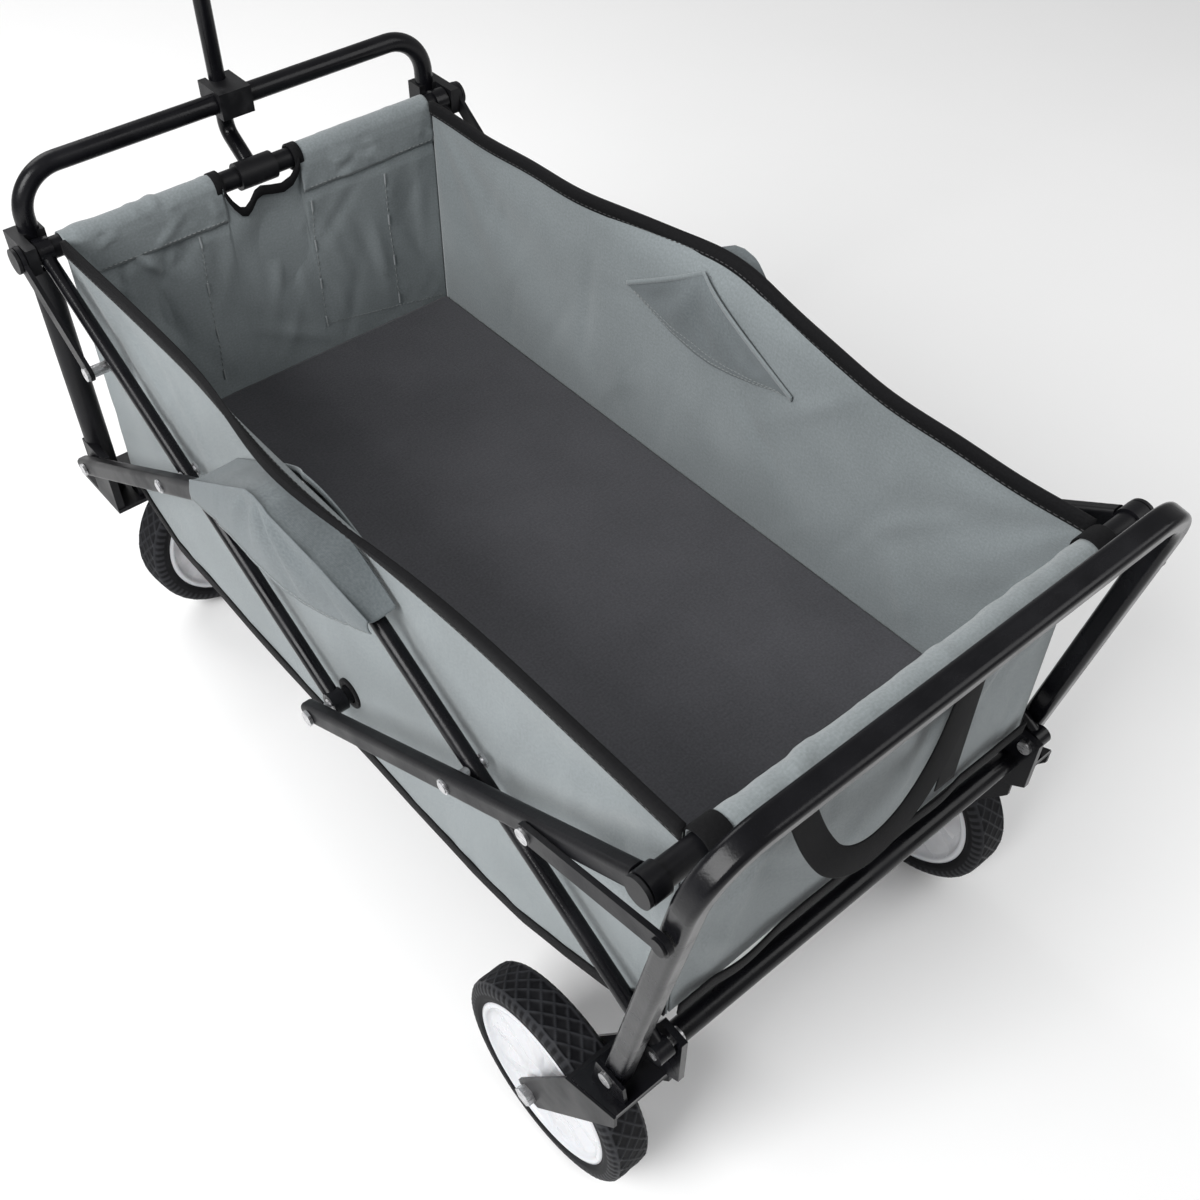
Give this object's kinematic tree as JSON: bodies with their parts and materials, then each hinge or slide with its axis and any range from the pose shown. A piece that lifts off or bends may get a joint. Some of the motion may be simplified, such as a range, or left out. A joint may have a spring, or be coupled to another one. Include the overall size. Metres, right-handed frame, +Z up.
{
  "type": "folding wagon",
  "caption": "Lengthwise-folding cloth wagon on a scissor frame, with swivel casters, a pull handle and a rear push bar.",
  "frame": {"origin": "on the floor, under the middle of the wagon's box", "axes": "+Z up, +Y to the rear, where the push bar is, +X to the left of a person who pulls it"},
  "size_m": [0.542, 0.9758, 1.121],
  "materials": {
    "steel_black": "satin black powder coat",
    "steel_black_gloss": "glossy black paint",
    "rivet_steel": "zinc plated",
    "black_plastic": "moulded, slightly grained",
    "white_plastic": "white moulded hub",
    "tyre_rubber": "black solid rubber",
    "grey_cloth": "grey coated polyester weave",
    "dark_cloth": "charcoal polyester weave",
    "black_webbing": "black woven tape"
  },
  "bodies": {
    "front_frame": {"front_posts": "steel_black", "front_brackets": "steel_black", "front_bottom_tube": "steel_black", "front_low_pins": "rivet_steel", "caster_kingpins": "rivet_steel"},
    "caster_left": {"caster_fork_left": "steel_black", "caster_axle_left": "rivet_steel"},
    "caster_right": {"caster_fork_right": "steel_black", "caster_axle_right": "rivet_steel"},
    "front_wheel_left": {"front_tyre_left": "tyre_rubber", "front_hub_left": "white_plastic"},
    "front_wheel_right": {"front_tyre_right": "tyre_rubber", "front_hub_right": "white_plastic"},
    "low_link_left": {"link_front_low_left": "steel_black", "front_rivets_left": "rivet_steel"},
    "low_link_right": {"link_front_low_right": "steel_black", "front_rivets_right": "rivet_steel"},
    "front_high_links": {"links_front_high": "steel_black_gloss", "corner_braces": "steel_black", "middle_bottom_tube": "steel_black", "link_bolts": "rivet_steel"},
    "rear_high_links": {"links_rear_high": "steel_black", "rear_top_tube": "steel_black", "rear_end_caps": "black_plastic", "rear_rivets": "rivet_steel"},
    "rear_low_left": {"link_rear_low_left": "steel_black_gloss"},
    "rear_low_right": {"link_rear_low_right": "steel_black_gloss"},
    "rear_frame": {"rear_bottom_tube": "steel_black_gloss", "rear_brackets": "steel_black_gloss", "rear_forks": "steel_black", "rear_axles": "rivet_steel", "rear_low_pins": "rivet_steel"},
    "rear_wheel_left": {"rear_tyre_left": "tyre_rubber", "rear_hub_left": "white_plastic"},
    "rear_wheel_right": {"rear_tyre_right": "tyre_rubber", "rear_hub_right": "white_plastic"},
    "push_bar": {"push_bar": "steel_black_gloss"},
    "strut_left": {"push_bar_strut_left": "steel_black"},
    "strut_right": {"push_bar_strut_right": "steel_black"},
    "front_top": {"front_top_tube": "steel_black", "front_end_caps": "black_plastic", "corner_blocks": "black_plastic", "front_u_bar": "steel_black_gloss", "pole_clip": "black_plastic", "basket_front_wall": "grey_cloth", "basket_rear_wall": "grey_cloth", "basket_left_wall": "grey_cloth", "basket_right_wall": "grey_cloth", "basket_floor": "dark_cloth", "basket_bottom_band": "black_webbing", "rim_bindings": "black_webbing", "pivot_covers": "grey_cloth", "carry_strap": "black_webbing"},
    "pull_handle": {"handle_tee": "black_plastic", "handle_lower_tube": "steel_black"},
    "handle_slide": {"handle_upper_tube": "steel_black", "handle_collar": "black_plastic", "handle_lock_button": "black_plastic", "handle_grip": "black_plastic"}
  },
  "joints": [
    {"name": "fold", "type": "hinge", "parent": "front_frame", "child": "low_link_left", "pos_m": [0.2415, -0.40945, 0.298], "axis": [1, 0, 0], "range_deg": [0, 44], "deforming": ["basket_front_wall", "basket_rear_wall", "basket_left_wall", "basket_right_wall", "basket_floor", "basket_bottom_band", "rim_bindings", "pivot_covers", "carry_strap"]},
    {"name": "fold_low_right", "type": "hinge", "parent": "front_frame", "child": "low_link_right", "pos_m": [-0.2415, -0.40945, 0.298], "axis": [1, 0, 0], "range_deg": [0, 44]},
    {"name": "fold_cross", "type": "hinge", "parent": "low_link_left", "child": "front_high_links", "pos_m": [0.221, -0.19695, 0.422], "axis": [1, 0, 0], "range_deg": [-88, 0]},
    {"name": "fold_front_top", "type": "hinge", "parent": "front_high_links", "child": "front_top", "pos_m": [0, -0.40945, 0.546], "axis": [1, 0, 0], "range_deg": [0, 44]},
    {"name": "fold_middle", "type": "hinge", "parent": "front_high_links", "child": "rear_high_links", "pos_m": [0, 0.01555, 0.298], "axis": [1, 0, 0], "range_deg": [0, 88]},
    {"name": "fold_rear_left", "type": "hinge", "parent": "low_link_left", "child": "rear_low_left", "pos_m": [0.221, 0.01555, 0.546], "axis": [1, 0, 0], "range_deg": [-88, 0]},
    {"name": "fold_rear_right", "type": "hinge", "parent": "low_link_right", "child": "rear_low_right", "pos_m": [-0.221, 0.01555, 0.546], "axis": [1, 0, 0], "range_deg": [-88, 0]},
    {"name": "fold_rear_frame", "type": "hinge", "parent": "rear_low_left", "child": "rear_frame", "pos_m": [0.221, 0.44055, 0.298], "axis": [1, 0, 0], "range_deg": [0, 44]},
    {"name": "push_bar_lean", "type": "hinge", "parent": "rear_frame", "child": "push_bar", "pos_m": [0, 0.41655, 0.252], "axis": [1, 0, 0], "range_deg": [0, 8.8]},
    {"name": "strut_left_turn", "type": "hinge", "parent": "rear_high_links", "child": "strut_left", "pos_m": [0.2516, 0.33172, 0.4825], "axis": [1, 0, 0], "range_deg": [-139.96, 0]},
    {"name": "strut_right_turn", "type": "hinge", "parent": "rear_high_links", "child": "strut_right", "pos_m": [-0.2516, 0.33172, 0.4825], "axis": [1, 0, 0], "range_deg": [-139.96, 0]},
    {"name": "caster_left_swivel", "type": "hinge", "parent": "front_frame", "child": "caster_left", "pos_m": [0.141, -0.45345, 0.225], "axis": [0, 0, 1], "continuous": true},
    {"name": "front_wheel_left_spin", "type": "hinge", "parent": "caster_left", "child": "front_wheel_left", "pos_m": [0.10514, -0.45659, 0.1017], "axis": [-0.0872, 0.9962, 0], "continuous": true},
    {"name": "rear_wheel_left_spin", "type": "hinge", "parent": "rear_frame", "child": "rear_wheel_left", "pos_m": [0.233, 0.33255, 0.1017], "axis": [1, 0, 0], "continuous": true},
    {"name": "caster_right_swivel", "type": "hinge", "parent": "front_frame", "child": "caster_right", "pos_m": [-0.141, -0.45345, 0.225], "axis": [0, 0, 1], "continuous": true},
    {"name": "front_wheel_right_spin", "type": "hinge", "parent": "caster_right", "child": "front_wheel_right", "pos_m": [-0.10514, -0.45659, 0.1017], "axis": [-0.0872, -0.9962, 0], "continuous": true},
    {"name": "rear_wheel_right_spin", "type": "hinge", "parent": "rear_frame", "child": "rear_wheel_right", "pos_m": [-0.233, 0.33255, 0.1017], "axis": [1, 0, 0], "continuous": true},
    {"name": "handle_swing", "type": "hinge", "parent": "front_top", "child": "pull_handle", "pos_m": [0, -0.40945, 0.546], "axis": [1, 0, 0], "range_deg": [0, 100]},
    {"name": "handle_extend", "type": "slide", "parent": "pull_handle", "child": "handle_slide", "axis": [0, 0, 1], "range_m": [0, 0.22]}
  ],
  "couplings": [
    {"joint": "fold_low_right", "follows": "fold", "ratio": 1},
    {"joint": "fold_cross", "follows": "fold", "ratio": -2},
    {"joint": "fold_front_top", "follows": "fold", "ratio": 1},
    {"joint": "fold_middle", "follows": "fold", "ratio": 2},
    {"joint": "fold_rear_left", "follows": "fold", "ratio": -2},
    {"joint": "fold_rear_right", "follows": "fold", "ratio": -2},
    {"joint": "fold_rear_frame", "follows": "fold", "ratio": 1},
    {"joint": "push_bar_lean", "follows": "fold", "ratio": 0.2},
    {"joint": "strut_left_turn", "follows": "fold", "ratio": -3.181},
    {"joint": "strut_right_turn", "follows": "fold", "ratio": -3.181}
  ]
}
